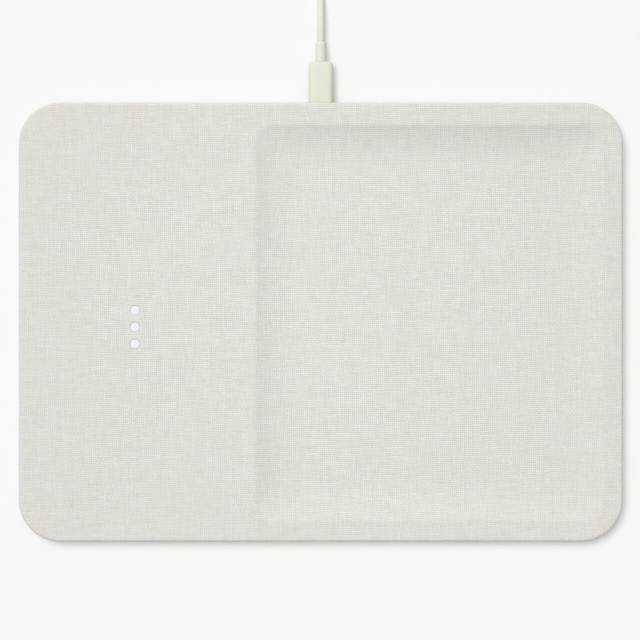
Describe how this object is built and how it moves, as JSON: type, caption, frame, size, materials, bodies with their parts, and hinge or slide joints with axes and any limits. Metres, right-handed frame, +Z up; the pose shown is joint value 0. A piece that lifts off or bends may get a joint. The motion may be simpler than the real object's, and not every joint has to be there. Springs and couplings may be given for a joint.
{
  "type": "wireless charging pad",
  "caption": "Flat rectangular linen-covered charging pad with marker dots beside a scooped tray, on a plugged-in cable.",
  "frame": {"origin": "on the table, under the middle of the pad", "axes": "+X to the right along the pad's long side, +Y to the rear edge where the cable plugs in, +Z up"},
  "size_m": [0.26, 0.2892, 0.0138],
  "materials": {
    "linen": "woven linen, undyed oatmeal white, matt",
    "dot_silicone": "smooth satin silicone",
    "shell_plastic": "fine moulded texture",
    "base_plastic": "fine moulded texture",
    "foot_silicone": "matt silicone",
    "carrier_plastic": "moulded black plastic",
    "ferrite": "sintered dark grey",
    "copper": "enamelled copper wire",
    "board_laminate": "green solder mask",
    "chip_resin": "matt black moulding resin",
    "capacitor_film": "dipped film",
    "natural_nylon": "natural nylon",
    "steel": "nickel-plated steel",
    "cord_plastic": "satin soft-touch jacket, warm white",
    "tie_fabric": "woven hook-and-loop tie"
  },
  "bodies": {
    "pad": {"fabric_cover": "linen", "marker_dot_1": "dot_silicone", "marker_dot_2": "dot_silicone", "marker_dot_3": "dot_silicone", "top_shell": "shell_plastic", "base_plate": "base_plastic", "foot_1": "foot_silicone", "housing_screw_1": "steel", "foot_2": "foot_silicone", "housing_screw_2": "steel", "foot_3": "foot_silicone", "housing_screw_3": "steel", "foot_4": "foot_silicone", "housing_screw_4": "steel", "foot_5": "foot_silicone", "housing_screw_5": "steel", "foot_6": "foot_silicone", "housing_screw_6": "steel", "coil_carrier": "carrier_plastic", "ferrite_sheet": "ferrite", "charging_coil_front": "copper", "coil_lead_front": "copper", "charging_coil_middle": "copper", "coil_lead_middle": "copper", "charging_coil_rear": "copper", "coil_lead_rear": "copper", "coil_thermistor": "chip_resin", "main_board": "board_laminate", "controller_chip": "chip_resin", "bridge_driver_1": "chip_resin", "bridge_driver_2": "chip_resin", "resonant_capacitor_1": "capacitor_film", "resonant_capacitor_2": "capacitor_film", "resonant_capacitor_3": "capacitor_film", "power_inductor": "chip_resin", "port_power_chip": "chip_resin", "coil_connector": "natural_nylon", "usb_socket_shell": "steel", "usb_socket_tongue": "chip_resin", "carrier_screw_1": "steel", "carrier_screw_2": "steel", "carrier_screw_3": "steel", "carrier_screw_4": "steel", "board_screw_1": "steel", "board_screw_2": "steel"},
    "cable": {"plug_shell": "steel", "plug_grip": "cord_plastic", "strain_relief": "cord_plastic", "cord_run": "cord_plastic", "cord_coil": "cord_plastic", "cord_tie": "tie_fabric", "cord_tail": "cord_plastic", "far_strain_relief": "cord_plastic", "far_plug_grip": "cord_plastic", "far_plug_shell": "steel"}
  },
  "joints": [
    {"name": "plug_pull", "type": "slide", "parent": "pad", "child": "cable", "axis": [0, 1, 0], "range_m": [0, 0.012]}
  ]
}
